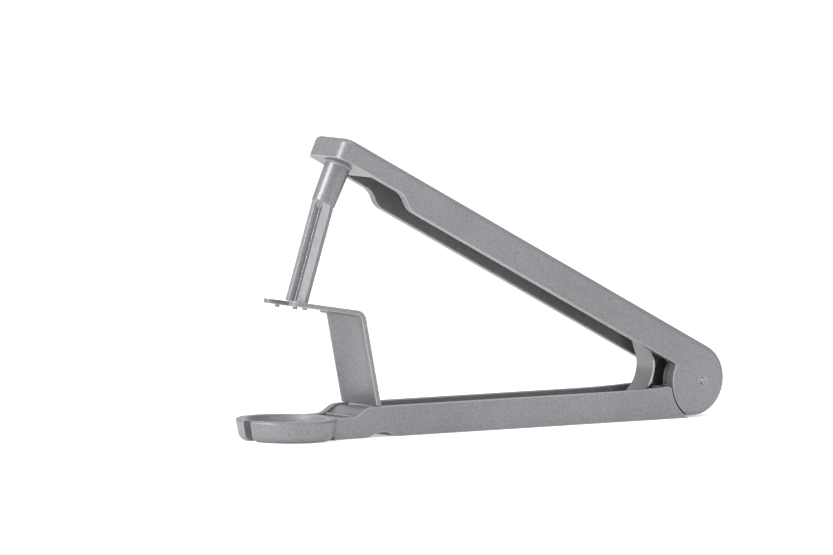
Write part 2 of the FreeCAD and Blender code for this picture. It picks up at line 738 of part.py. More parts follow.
def make_hold_down_bracket():
    """Forked plate on a hollow-faced upright, with a foot block in the lower channel."""
    body = new_body("hold_down_bracket")
    tilt = size("plate_tilt")
    lean = size("upright_tilt")
    half = size("plate_width") / 2
    front = (cup_x + size("plate_front"), 0, size("plate_top"))

    # The plate, drawn in its own sloping plane from the prong tips back.
    plan = new_sketch(body, "plate_plan", "XY_Plane", front, (1, tilt))
    half_fork = size("fork_slot") / 2
    fork_end = size("fork_depth")
    outer = size("prong_round")
    inner = size("edge_round") * 2
    corners = [
        (size("plate_length"), -half),
        (size("plate_length"), half),
        (outer, half),
        (0, half - outer),
        (0, half_fork + inner),
        (inner, half_fork),
        (fork_end - half_fork, half_fork),
        (fork_end, 0),
        (fork_end - half_fork, -half_fork),
        (inner, -half_fork),
        (0, -half_fork - inner),
        (0, outer - half),
        (outer, -half),
    ]
    arcs = {
        2: (outer, 1),
        4: (inner, 1),
        6: (half_fork, -1),
        7: (half_fork, -1),
        9: (inner, 1),
        11: (outer, 1),
    }
    outline(plan, corners, arcs)
    pad(body, "plate", plan, size("plate_wall"), symmetric=False, back=True)

    # Nubs under the prongs that press on the fruit.
    nubs = new_sketch(body, "nub_plan", "XY_Plane", front, (1, tilt))
    for place in (size("nub_place"), size("nub_place") + size("nub_pitch")):
        for side in (-1, 1):
            circle(nubs, place, (half - size("nub_dia") * 1.25) * side, size("nub_dia") / 2)
    pad(body, "nubs", nubs, size("plate_wall") + size("nub_dia") / 2, symmetric=False, back=True)

    # The upright, an even sheet that is hollow towards the cup.
    hollow = size("upright_hollow")
    thick = size("upright_wall")
    full = hollow + thick
    sag_inner = hollow - root(hollow * hollow - half * half)
    sag_outer = full - root(full * full - half * half)
    length = size("plate_length")
    corner = (front[0] + length * cosine(tilt), 0, front[2] - length * sine(tilt))
    over = wall * 2
    start = (corner[0] - over * sine(lean), 0, corner[2] + over * cosine(lean))
    sheet_plan = new_sketch(body, "upright_plan", "XY_Plane", start, (-1, lean))
    outline(
        sheet_plan,
        [
            (-sag_outer, -half),
            (-sag_outer, half),
            (-thick - sag_inner, half),
            (-thick - sag_inner, -half),
        ],
        {0: (full, 1), 2: (hollow, -1)},
    )
    drop = (corner[2] - size("seat_floor") - wall) / cosine(lean)
    pad(body, "upright", sheet_plan, drop + over, symmetric=False, back=True)
    above = new_sketch(body, "above_plate_plan", "XY_Plane", front, (1, tilt))
    box_outline(above, (length / 2, -half - wall), (length + over * 2, half + wall))
    pocket(body, "above_plate", above, over * 2, symmetric=False, back=True)
    trim = new_sketch(body, "plate_end_plan", "XY_Plane", corner, (-1, lean))
    wide = half + wall
    sag_wide = full - root(full * full - wide * wide)
    outline(
        trim,
        [(-sag_wide, -wide), (-sag_wide, wide), (wall * 3, wide), (wall * 3, -wide)],
        {0: (full, 1)},
    )
    pocket(body, "plate_end", trim, drop * 3)

    # The bend between plate and upright is rounded inside and outside.
    corner_x, corner_z = corner[0].value, corner[2].value
    reach = size("plate_wall").value + size("upright_wall").value

    def inside_edge(middle, along, edge):
        away = math.hypot(middle.x - corner_x, middle.z - corner_z)
        return abs(middle.y) < 0.05 and 0.5 < away < reach and edge.Length > half.value

    def outside_edge(middle, along, edge):
        ends = [math.hypot(end.X - corner_x, end.Z - corner_z) for end in edge.Vertexes]
        return abs(middle.y) > wall.value and min(ends) < 0.01

    round_edges(body, "bend_inside", size("bend_round") - thick, inside_edge)
    round_edges(body, "bend_outside", size("bend_round"), outside_edge)

    # The lower corners are cut off so that the upright clears the channel's walls.
    low = new_sketch(body, "upright_corners", "YZ_Plane")
    half_foot = half_channel - size("foot_play")
    clear = size("arm_height") + size("side_play")
    for side in (-1, 1):
        outline(
            low,
            [
                (half_foot * side, 0),
                (half_foot * side, clear),
                ((half + wall) * side, clear),
                ((half + wall) * side, 0),
            ],
        )
    pocket(body, "upright_corners_cut", low, size("overall_length") * 2)

    # The foot block; its top follows the step of the channel's walls.
    foot = new_sketch(body, "foot_side", "XZ_Plane")
    foot_top = size("foot_height")
    rear = corner[0] + (corner[2] - foot_top) * tangent(lean) + thick
    nose = rear - size("foot_length")
    low_top = size("cup_height") + size("side_play")
    step_run = size("step_length") * 0.7
    step_rise = foot_top - low_top
    step_radius = ogee_radius(step_run, step_rise)
    outline(
        foot,
        [
            (nose, size("seat_floor")),
            (rear, size("seat_floor")),
            (rear, foot_top),
            (nose + step_run, foot_top),
            (nose + step_run / 2, low_top + step_rise / 2),
            (nose, low_top),
        ],
        {3: (step_radius, 1), 4: (step_radius, -1)},
    )
    pad(body, "foot", foot, half_foot * 2)
    hole = new_sketch(body, "screw_hole_plan", "XY_Plane")
    circle(hole, screw_x, 0, size("screw_dia") / 2 + size("screw_play"))
    depth = screw_top + size("side_play")
    pocket(body, "screw_hole", hole, depth, symmetric=False, back=True)
    return body


def make_bracket_screw():
    """Screw from below through the lower arm into the bracket's foot."""
    body = new_body("bracket_screw")
    section = new_sketch(body, "screw_section", "XZ_Plane", (screw_x, 0, 0))
    head_top = size("notch_height")
    head_low = head_top - size("screw_head")
    head = size("screw_head_dia") / 2
    shank = size("screw_dia") / 2
    bevel = size("edge_round") / 2
    outline(
        section,
        [
            (0, head_low),
            (head - bevel, head_low),
            (head, head_low + bevel),
            (head, head_top),
            (shank, head_top),
            (shank, screw_top - bevel),
            (shank - bevel, screw_top),
            (0, screw_top),
        ],
    )
    spin(body, "PartDesign::Revolution", "screw", section)
    drive = new_sketch(body, "screw_drive", "XY_Plane", (0, 0, head_low))
    half_drive = size("screw_head_dia") / 2 * 0.6
    slit = bevel
    box_outline(drive, (screw_x - half_drive, -slit), (screw_x + half_drive, slit))
    pocket(body, "drive_slit", drive, size("screw_head") / 2, symmetric=False, back=True)
    return body


def make_hinge_pin():
    """Straight pin through both ears and both lugs, with rounded ends."""
    body = new_body("hinge_pin")
    plan = new_sketch(body, "pin_side", "XZ_Plane")
    circle(plan, hinge_x, hinge_z, size("pin_dia") / 2)
    pad(body, "pin", plan, arm_width - size("pin_recess") * 2)
    end = (arm_width.value - size("pin_recess").value * 2) / 2
    round_edges(
        body, "pin_ends", size("edge_round") * 0.6,
        lambda middle, along, edge: abs(abs(middle.y) - end) < 0.01,
    )
    return body


def spring_path():
    """The spring's middle line from its lower foot to its upper one.

    Each point is x, z and its direction as the cosine and sine of the angle above level.
    """
    half_leaf = size("leaf_wall") / 2
    bend = size("leaf_foot_bend")
    big = size("leaf_bend")
    centre_x = -size("leaf_bend_ahead")
    centre_z = size("leaf_bend_height")
    foot_z = size("arm_floor") + size("leaf_play") + half_leaf - hinge_z

    # Below the large bend: a leg that meets the floor through a small bend.
    lower = (sine(size("leaf_lower_turn")), cosine(size("leaf_lower_turn")))
    leg_x = keep("leg_low_x", centre_x + big * lower[1])
    leg_z = keep("leg_low_z", centre_z - big * lower[0])
    bend_top = foot_z + bend * (1 - lower[0])
    bend_x = keep("foot_low_x", leg_x - (leg_z - bend_top) * lower[0] / lower[1])
    flat_x = bend_x - bend * lower[1]
    path = [
        (flat_x - size("leaf_foot_length"), foot_z, (1, 0)),
        (flat_x, foot_z, (1, 0)),
        (bend_x, bend_top, lower),
        (leg_x, leg_z, lower),
    ]

    # Above it: the same, worked out in the lever's frame, where the crown is level.
    upper = (-sine(size("leaf_upper_turn")), cosine(size("leaf_upper_turn")))
    top_x = keep("leg_top_x", centre_x + big * upper[1])
    top_z = keep("leg_top_z", centre_z - big * upper[0])
    path.append((top_x, top_z, upper))
    steep = size("open_angle") + size("leaf_upper_turn")
    crown_z = ceiling - size("leaf_play") - half_leaf
    near_x, near_z = turned_back(top_x, top_z)
    join_z = keep("crown_join_z", crown_z - bend * (1 - sine(steep)))
    join_x = keep("crown_join_x", near_x - (join_z - near_z) * tangent(steep))
    last_x = join_x - bend * cosine(steep)
    for x, z, way in (
        (join_x, join_z, upper),
        (last_x, crown_z, (-open_cosine, open_sine)),
        (last_x - size("leaf_foot_length"), crown_z, (-open_cosine, open_sine)),
    ):
        path.append((x * open_cosine + z * open_sine, z * open_cosine - x * open_sine, way))
    return path


def make_leaf_spring():
    """Flat band bent round at the hinge; its feet press on the floor and the crown."""
    body = new_body("leaf_spring")
    side = new_sketch(body, "band_side", "XZ_Plane", (hinge_x, hinge_z, 0))
    half_leaf = size("leaf_wall") / 2
    right = []
    left = []
    for x, z, way in spring_line:
        shift_x = half_leaf * way[1]
        shift_z = half_leaf * way[0]
        right.append((x + shift_x, z - shift_z))
        left.append((x - shift_x, z + shift_z))
    bends = {1: size("leaf_foot_bend"), 3: size("leaf_bend"), 5: size("leaf_foot_bend")}
    arcs = {}
    last = len(right) * 2 - 2
    for number, radius in bends.items():
        arcs[number] = (radius + half_leaf, 1)
        arcs[last - number] = (radius - half_leaf, -1)
    outline(side, right + left[::-1], arcs)
    pad(body, "band", side, size("leaf_width"))
    hole = new_sketch(body, "peg_hole_plan", "XY_Plane")
    circle(hole, spring_peg_x, 0, size("peg_dia") / 2 + size("peg_play"))
    pocket(body, "peg_hole", hole, size("leaf_wall") * 6, symmetric=False, back=True)
    return body


screw_x = cup_x + size("screw_place")
screw_top = size("notch_height") + size("screw_length")
spring_peg_x = hinge_x - size("leaf_bend_ahead") - size("peg_ahead")
spring_line = spring_path()

make_lower_arm()
make_upper_lever()
make_plunger()
make_hold_down_bracket()
make_bracket_screw()
make_hinge_pin()
make_leaf_spring()
doc.recompute()

bodies = [item for item in doc.Objects if item.TypeId == "PartDesign::Body"]
for item in doc.Objects:
    if "Invalid" in item.State or "Error" in item.State:
        raise RuntimeError(f"{item.Label} is {item.State}")
os.makedirs("parts", exist_ok=True)
for body in bodies:
    if body.Shape.isNull() or not body.Shape.isValid():
        raise RuntimeError(f"{body.Label} has no valid shape")
    print(body.Label, len(body.Shape.Solids), round(body.Shape.Volume, 1), body.Shape.BoundBox)
    body.Shape.exportStep(f"parts/{body.Label}.step")
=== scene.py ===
"""Cherry pitter with lever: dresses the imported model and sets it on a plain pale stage."""

import json
import math

import bmesh
import bpy
from mathutils import Matrix, Vector


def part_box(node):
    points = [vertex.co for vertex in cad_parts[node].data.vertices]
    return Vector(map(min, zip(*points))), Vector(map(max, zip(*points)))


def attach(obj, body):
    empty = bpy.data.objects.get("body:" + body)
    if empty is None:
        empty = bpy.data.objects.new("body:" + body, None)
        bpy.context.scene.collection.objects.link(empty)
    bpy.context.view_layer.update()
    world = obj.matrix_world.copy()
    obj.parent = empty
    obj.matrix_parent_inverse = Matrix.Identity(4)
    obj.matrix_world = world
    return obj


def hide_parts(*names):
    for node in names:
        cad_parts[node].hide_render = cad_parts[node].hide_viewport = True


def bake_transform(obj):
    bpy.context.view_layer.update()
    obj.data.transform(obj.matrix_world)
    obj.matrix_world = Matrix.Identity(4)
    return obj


bl_info = {
    "name": "Cherry pitter with lever",
    "version": (1, 0, 0),
    "blender": (4, 5, 0),
    "location": "3D View > Sidebar > Pitter",
    "description": "Finishes the cast arms, plunger, bracket, pin and spring of a cherry pitter",
    "category": "Object",
}

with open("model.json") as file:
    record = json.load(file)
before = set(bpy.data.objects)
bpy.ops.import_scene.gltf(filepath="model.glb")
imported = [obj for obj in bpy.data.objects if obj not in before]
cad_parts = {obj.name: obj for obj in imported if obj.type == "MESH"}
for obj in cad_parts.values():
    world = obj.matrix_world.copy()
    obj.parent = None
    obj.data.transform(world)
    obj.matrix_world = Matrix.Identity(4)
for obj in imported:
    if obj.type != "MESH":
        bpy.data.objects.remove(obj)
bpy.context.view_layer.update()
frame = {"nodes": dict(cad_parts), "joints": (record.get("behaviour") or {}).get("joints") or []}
nodes = frame["nodes"]
hinge = Vector(frame["joints"][0]["pos_m"])

MM = 0.001
# Points nearer than this are one point.
SAME_POINT = 0.001 * MM
# Faces that meet at more than this keep a sharp edge.
SHARP_EDGE = math.radians(12)
# A face looks along an axis when this much of its normal does.
FACING = 0.9
# Samples of the shader that rounds the edges.
ROUNDING = 6
# Width of the darker patches in the coating.
PATCH = 24 * MM

# The picture's size, its scale, and where the foot of the cup stands in it, in pixels.
PICTURE_WIDTH = 833
PICTURE_HEIGHT = 555
PIXELS_PER_MM = 3.6
FOOT_ACROSS = 286.0
FOOT_DOWN = 439.7


def linear(hex_colour):
    """An sRGB hex colour as linear RGBA."""
    value = hex_colour.lstrip("#")
    channels = []
    for start in (0, 2, 4):
        part = int(value[start:start + 2], 16) / 255
        channels.append(part / 12.92 if part <= 0.04045 else ((part + 0.055) / 1.055) ** 2.4)
    return (*channels, 1.0)


def swatch(name, hex_colour, description):
    return bpy.props.FloatVectorProperty(
        name=name, description=description, subtype="COLOR", size=4, min=0, max=1,
        default=linear(hex_colour),
    )


def length(name, millimetres, description):
    return bpy.props.FloatProperty(
        name=name, description=description, unit="LENGTH", subtype="DISTANCE",
        default=millimetres * MM, precision=5,
    )


def turn(name, degrees, description):
    return bpy.props.FloatProperty(
        name=name, description=description, subtype="ANGLE", default=math.radians(degrees)
    )


def add_node(tree, kind, place, settings=None, inputs=None, links=None):
    """Add a node with its settings, input values and links from other nodes' outputs."""
    node = tree.nodes.new(kind)
    node.location = place
    for key, value in (settings or {}).items():
        setattr(node, key, value)
    for key, value in (inputs or {}).items():
        node.inputs[key].default_value = value
    for key, output in (links or {}).items():
        tree.links.new(output, node.inputs[key])
    return node


def new_material(name):
    material = bpy.data.materials.new(name)
    material.use_nodes = True
    tree = material.node_tree
    tree.nodes.clear()
    return material, tree


def set_ramp(node, stops):
    ramp = node.color_ramp
    ramp.elements[0].position, ramp.elements[0].color = stops[0]
    ramp.elements[1].position, ramp.elements[1].color = stops[-1]
    for position, colour in stops[1:-1]:
        ramp.elements.new(position).color = colour


def grey(level):
    return (level, level, level, 1.0)


def coated_casting(name, look, edge_mm, rough_low, rough_high):
    """Die-cast aluminium under a thin satin coating.

    The casting's skin gives soft, broad highlights that break up in a fine sparkling grain, and an
    even tone over the big faces. Lighter lines along every edge are a painted highlight.
    """
    material, tree = new_material(name)
    where = add_node(tree, "ShaderNodeTexCoord", (-1400, 0))
    # The real grain is finer, and is drawn as coarse as it needs to show.
    grain = add_node(
        tree, "ShaderNodeTexNoise", (-1100, 200), inputs={"Scale": 1 / look.coat_grain, "Detail": 3.0},
        links={"Vector": where.outputs["Object"]},
    )
    blotch = add_node(
        tree, "ShaderNodeTexNoise", (-1100, -60), inputs={"Scale": 1 / PATCH, "Detail": 2.0},
        links={"Vector": where.outputs["Object"]},
    )
    ridge = add_node(
        tree, "ShaderNodeBevel", (-1100, -320), {"samples": ROUNDING}, inputs={"Radius": edge_mm * MM}
    )
    # The rounded normal leans away from the face's own only along an edge.
    facing = add_node(tree, "ShaderNodeNewGeometry", (-1100, -560))
    turned = add_node(
        tree, "ShaderNodeVectorMath", (-850, -420), {"operation": "DOT_PRODUCT"},
        links={0: ridge.outputs["Normal"], 1: facing.outputs["Normal"]},
    )
    # Painted highlight: this mask lays a lighter colour along every edge, convex and concave alike.
    edge = add_node(tree, "ShaderNodeValToRGB", (-620, -420), links={"Fac": turned.outputs["Value"]})
    set_ramp(edge, [(0.80, grey(1.0)), (0.985, grey(0.0))])
    tone = add_node(tree, "ShaderNodeValToRGB", (-850, -60), links={"Fac": blotch.outputs["Fac"]})
    set_ramp(tone, [(0.32, tuple(look.coat_dark)), (0.68, tuple(look.coat))])
    speck = add_node(tree, "ShaderNodeValToRGB", (-850, 200), links={"Fac": grain.outputs["Fac"]})
    set_ramp(speck, [(0.36, grey(0.72)), (0.64, grey(1.0))])
    mottled = add_node(
        tree, "ShaderNodeMix", (-500, 60), {"data_type": "RGBA", "blend_type": "MULTIPLY"},
        inputs={0: 1.0}, links={6: tone.outputs["Color"], 7: speck.outputs["Color"]},
    )
    # The coating's colour with the painted edge highlight laid over it.
    highlit_edges = add_node(
        tree, "ShaderNodeMix", (-300, 0), {"data_type": "RGBA"},
        inputs={7: tuple(look.painted_edge_highlight)}, links={0: edge.outputs["Color"], 6: mottled.outputs[2]},
    )
    rough = add_node(
        tree, "ShaderNodeMapRange", (-500, -200), inputs={3: rough_low, 4: rough_high},
        links={0: grain.outputs["Fac"]},
    )
    relief = add_node(
        tree, "ShaderNodeBump", (-300, -260), inputs={"Strength": 0.3, "Distance": 0.05 * MM},
        links={"Height": grain.outputs["Fac"], "Normal": ridge.outputs["Normal"]},
    )
    surface = add_node(
        tree, "ShaderNodeBsdfPrincipled", (0, 0), inputs={"Metallic": 0.5},
        links={
            "Base Color": highlit_edges.outputs[2],
            "Roughness": rough.outputs["Result"],
            "Normal": relief.outputs["Normal"],
        },
    )
    add_node(
        tree, "ShaderNodeOutputMaterial", (300, 0), links={"Surface": surface.outputs["BSDF"]}
    )
    return material


def bare_metal(name, colour, streak_mm, along, rough_low, rough_high):
    """Bare metal that was drawn, rolled, sheared or rubbed bright.

    The work leaves streaks along the metal that break up its shine; their grooves get painted shade.
    Real ones are a few hundredths of a millimetre wide, and they are drawn coarser, so that
    they show when the camera is near.
    """
    material, tree = new_material(name)
    where = add_node(tree, "ShaderNodeTexCoord", (-1100, 0))
    fine, long_ = 1 / (streak_mm * MM), 1 / (streak_mm * 30 * MM)
    scale = tuple(long_ if axis == along else fine for axis in "XYZ")
    stretch = add_node(
        tree, "ShaderNodeMapping", (-900, 0), inputs={"Scale": scale},
        links={"Vector": where.outputs["Object"]},
    )
    streaks = add_node(
        tree, "ShaderNodeTexNoise", (-700, 0), inputs={"Scale": 1.0, "Detail": 4.0},
        links={"Vector": stretch.outputs["Vector"]},
    )
    tone = add_node(tree, "ShaderNodeValToRGB", (-450, 120), links={"Fac": streaks.outputs["Fac"]})
    # Painted shade: the streaks' grooves are darkened in the colour.
    painted_groove_shade = tuple(part * 0.72 for part in colour[:3]) + (1.0,)
    set_ramp(tone, [(0.30, painted_groove_shade), (0.70, tuple(colour))])
    rough = add_node(
        tree, "ShaderNodeMapRange", (-450, -120), inputs={3: rough_low, 4: rough_high},
        links={0: streaks.outputs["Fac"]},
    )
    ridge = add_node(
        tree, "ShaderNodeBevel", (-700, -300), {"samples": ROUNDING}, inputs={"Radius": 0.15 * MM}
    )
    relief = add_node(
        tree, "ShaderNodeBump", (-450, -320), inputs={"Strength": 0.12, "Distance": 0.02 * MM},
        links={"Height": streaks.outputs["Fac"], "Normal": ridge.outputs["Normal"]},
    )
    surface = add_node(
        tree, "ShaderNodeBsdfPrincipled", (-150, 0), inputs={"Metallic": 1.0},
        links={
            "Base Color": tone.outputs["Color"],
            "Roughness": rough.outputs["Result"],
            "Normal": relief.outputs["Normal"],
        },
    )
    add_node(
        tree, "ShaderNodeOutputMaterial", (150, 0), links={"Surface": surface.outputs["BSDF"]}
    )
    return material


def seen_directly(tree):
    """1 for camera, glossy and transmission rays, 0 for the light that falls on surfaces."""
    path = add_node(tree, "ShaderNodeLightPath", (-1000, 0))
    mirrored = add_node(
        tree, "ShaderNodeMath", (-800, 0), {"operation": "MAXIMUM"},
        links={0: path.outputs["Is Glossy Ray"], 1: path.outputs["Is Transmission Ray"]},
    )
    either = add_node(
        tree, "ShaderNodeMath", (-600, 0), {"operation": "MAXIMUM"},
        links={0: path.outputs["Is Camera Ray"], 1: mirrored.outputs["Value"]},
    )
    return either.outputs["Value"]


def spin_profile(shape, profile, centre, axis, steps):
    """Turn a row of points about an axis into a closed round form."""
    points = [shape.verts.new(point) for point in profile]
    edges = [shape.edges.new(pair) for pair in zip(points, points[1:])]
    bmesh.ops.spin(
        shape, geom=points + edges, cent=centre, axis=axis, angle=math.tau, steps=steps,
        use_merge=True,
    )
    bmesh.ops.remove_doubles(shape, verts=shape.verts, dist=SAME_POINT)


def as_object(name, shape, materials):
    """Put a bmesh into the scene as an object at the origin."""
    mesh = bpy.data.meshes.new(name)
    shape.to_mesh(mesh)
    shape.free()
    for material in materials:
        mesh.materials.append(material)
    piece = bpy.data.objects.new(name, mesh)
    bpy.context.scene.collection.objects.link(piece)
    return piece


def finished(name, shape, materials):
    """Make a piece of a bmesh: faces outward, smooth but for its sharp edges."""
    bmesh.ops.recalc_face_normals(shape, faces=shape.faces)
    for face in shape.faces:
        face.smooth = True
    for edge in shape.edges:
        edge.smooth = len(edge.link_faces) == 2 and edge.calc_face_angle() < SHARP_EDGE
    return as_object(name, shape, materials)


def dress(name, material):
    """Give a node its one material."""
    mesh = nodes[name].data
    mesh.materials.clear()
    mesh.materials.append(material)


class PitterLook(bpy.types.PropertyGroup):
    """Colours and sizes of the finishes."""

    coat: swatch("Coating", "#8A8A8F", "Satin coating of the castings")
    coat_dark: swatch("Coating, darker", "#828286", "Darker patches in the coating")
    # Painted highlight: the lighter colour laid along the castings' edges.
    painted_edge_highlight: swatch("Coating edges", "#C2C2C6", "Coating where it thins along edges")
    coat_grain: length("Coating grain", 0.45, "Grain of the coating, as coarse as it needs to show")
    fin_tip: swatch("Fin tips", "#ACACB0", "Bare metal where the fork rubs the fins' tips bright")
    pin_metal: swatch("Pin and screw", "#9A9A9C", "Steel of the hinge pin and the screw")
    pin_swell: length("Pin swell", 0.33, "How far riveting spreads each end out to the ear's face")
    pin_chamfer: length("Pin chamfer", 0.1, "Chamfer at the ends of the hinge pin")
    pin_punch: length("Pin's punch mark", 2.4, "Hollow that the punch leaves in each end of the pin")
    punch_depth: length("Punch depth", 0.65, "Depth of that hollow")
    spring_metal: swatch("Spring", "#868688", "Steel of the leaf spring")
    spring_edge: swatch("Spring edges", "#B8B8B8", "Bright sheared edges of the leaf spring")
    spring_slice: length("Spring slice", 0.6, "Height of the slices that let the spring bend")
    spring_low: length("Bend starts", 4.0, "Height above the table where the spring starts to bend")
    spring_high: length("Bend ends", 27.5, "Height above the table where it moves with the lever")
    spring_ahead: length("Spring ahead", 20.0, "Hinge axis to the middle of the spring")


class PitterPlunger(bpy.types.PropertyGroup):
    """Sizes of the plunger."""

    lever_rise: turn("Lever rise", 25.9, "Rise of the lever when it rests open")
    boss_place: length("Boss place", 143.1, "Hinge axis to the boss, along the lever")
    boss_top: length("Boss top", 3.4, "Lever's underside above the hinge axis, across the lever")
    boss_dia: length("Boss", 7.4, "Boss below its collar")
    boss_tip_dia: length("Boss tip", 6.8, "Boss at its lower end")
    boss_length: length("Boss length", 12.0, "Length of the boss")
    boss_taper: length("Boss taper", 3.2, "Height of the cone that the fins run out on")
    collar: length("Collar", 0.4, "Soft collar between the boss and the lever")
    shank_tilt: turn("Shank lean", 7.7, "Shank's lean from the boss, back to the hinge")
    shank_length: length("Shank length", 28.6, "Shank below the boss")
    shank_dia: length("Shank", 6.1, "Shank across the tips of its fins")
    fin: length("Fin", 2.4, "Thickness of the fins")
    fin_round: length("Fin round", 0.28, "Rounded edges of the fins")
    star_turn: turn("Fins' turn", -14.0, "Turn of the fins about the shank's axis")


class PitterStage(bpy.types.PropertyGroup):
    """Sizes and colours of the stage and the camera."""

    floor: swatch("Floor", "#F4F3F0", "Plain pale floor")
    floor_size: length("Floor size", 6000.0, "Side of the square floor")
    floor_lift: bpy.props.FloatProperty(
        name="Floor lift", description="White added to the floor, so that its far edge fades out",
        default=0.45, min=0,
    )
    camera_turn: turn("Camera turn", 38.53, "Angle of the view round the object")
    camera_rise: turn("Camera rise", 5.5, "Angle of the view above the table")
    camera_roll: turn("Camera roll", -0.76, "Tilt of the camera about its own line of sight")
    camera_distance: length("Camera distance", 3814.0, "Camera to the foot of the cup")
    cup_place: length("Cup place", -69.2, "The cup's axis along the arms")


class PITTER_OT_castings(bpy.types.Operator):
    """Finish the lower arm, the lever and the bracket as coated castings"""

    bl_idname = "pitter.castings"
    bl_label = "Castings"

    def execute(self, context):
        look = context.scene.pitter_look
        coated = coated_casting(
            "satin_coated_die_casting", look, edge_mm=0.55, rough_low=0.32, rough_high=0.52
        )
        for name in ("lower_arm", "upper_lever", "hold_down_bracket"):
            dress(name, coated)
        return {"FINISHED"}


class PITTER_OT_plunger(bpy.types.Operator):
    """Turn the plunger's boss and set its crossed fins into the cone below it"""

    bl_idname = "pitter.plunger"
    bl_label = "Plunger"

    def execute(self, context):
        look = context.scene.pitter_look
        sizes = context.scene.pitter_plunger
        lever = Matrix.Translation(hinge) @ Matrix.Rotation(sizes.lever_rise, 4, "Y")
        boss = lever @ Matrix.Translation((-sizes.boss_place, 0, sizes.boss_top))
        shape = bmesh.new()
        self.turn_boss(shape, sizes)
        bmesh.ops.transform(shape, matrix=boss, verts=shape.verts)
        shank = (
            boss
            @ Matrix.Translation((0, 0, -sizes.boss_length))
            @ Matrix.Rotation(-sizes.shank_tilt, 4, "Y")
            @ Matrix.Rotation(sizes.star_turn, 4, "Z")
        )
        for quarter in (0, math.pi / 2):
            self.add_fins(shape, sizes, shank @ Matrix.Rotation(quarter, 4, "Z"))
        # The same coating, a little glossier on these small faces, with its painted edge highlight in
        # a narrower line.
        fins = coated_casting(
            "satin_coated_fins", look, edge_mm=0.2, rough_low=0.30, rough_high=0.46
        )
        # Bare cast metal, dull but brighter than the coating, scratched along the shank.
        rubbed = bare_metal(
            "rubbed_fin_tips", look.fin_tip, streak_mm=0.3, along="Z",
            rough_low=0.38, rough_high=0.52,
        )
        plunger = finished("plunger_shank", shape, [fins, rubbed])
        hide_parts("plunger")
        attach(plunger, "lever")
        return {"FINISHED"}

    def turn_boss(self, shape, sizes):
        """The boss, upright below the origin.

        Its collar reaches into the lever above, and its cone ends where the fins cross below.
        """
        wide, narrow = sizes.boss_dia / 2, sizes.boss_tip_dia / 2
        collar, end = sizes.collar, sizes.boss_length
        profile = (
            (0, collar / 2),
            (wide + collar, collar / 2),
            (wide + collar, -collar / 2),
            (wide + collar * 0.35, -collar),
            (wide, -collar * 2),
            (narrow, -end + collar / 2),
            (narrow - collar * 0.3, -end),
            (sizes.fin / 8, -end - sizes.boss_taper),
            (0, -end - sizes.boss_taper),
        )
        points = [(radius, 0, height) for radius, height in profile]
        spin_profile(shape, points, centre=(0, 0, 0), axis=(0, 0, 1), steps=64)

    def add_fins(self, shape, sizes, place):
        """One slab across the shank's axis, which makes two opposite fins."""
        run_in = sizes.fin / 2
        long_ = sizes.shank_length + run_in
        slab = bmesh.ops.create_cube(shape, size=1.0)["verts"]
        for face in {face for vertex in slab for face in vertex.link_faces}:
            face.normal_update()
            face.material_index = 1 if abs(face.normal.x) > FACING else 0
        spread = Matrix.Diagonal((sizes.shank_dia, sizes.fin, long_, 1))
        middle = Matrix.Translation((0, 0, run_in - long_ / 2))
        bmesh.ops.transform(shape, matrix=place @ middle @ spread, verts=slab)
        edges = list({edge for vertex in slab for edge in vertex.link_edges})
        bmesh.ops.bevel(
            shape, geom=edges, offset=sizes.fin_round, segments=3, profile=0.5, affect="EDGES",
            material=-1,
        )


class PITTER_OT_steel_parts(bpy.types.Operator):
    """Turn the hinge pin with its punched ends, and finish it and the bracket's screw"""

    bl_idname = "pitter.steel_parts"
    bl_label = "Pin and screw"

    def execute(self, context):
        look = context.scene.pitter_look
        # Drawn steel, for the pin and the screw: bright, with faint lines along the pin.
        steel = bare_metal(
            "drawn_steel_pin", look.pin_metal, streak_mm=0.12, along="Y",
            rough_low=0.25, rough_high=0.4,
        )
        dress("bracket_screw", steel)
        low, high = (Vector(corner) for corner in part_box("hinge_pin"))
        middle, radius = (low + high) / 2, (high.z - low.z) / 2
        half = (high.y - low.y) / 2 + look.pin_swell
        chamfer, punch, depth = look.pin_chamfer, look.pin_punch / 2, look.punch_depth
        # One end of the pin, from the middle of its hollow out to the chamfer.
        end = (
            (0, half - depth),
            (punch * 0.55, half - depth * 0.8),
            (punch, half),
            (radius - chamfer, half),
            (radius, half - chamfer),
        )
        profile = [(out, -along) for out, along in end] + list(reversed(end))
        points = [middle + Vector((out, along, 0)) for out, along in profile]
        shape = bmesh.new()
        spin_profile(shape, points, centre=middle, axis=(0, 1, 0), steps=48)
        pin = finished("punched_hinge_pin", shape, [steel])
        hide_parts("hinge_pin")
        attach(pin, "base")
        return {"FINISHED"}


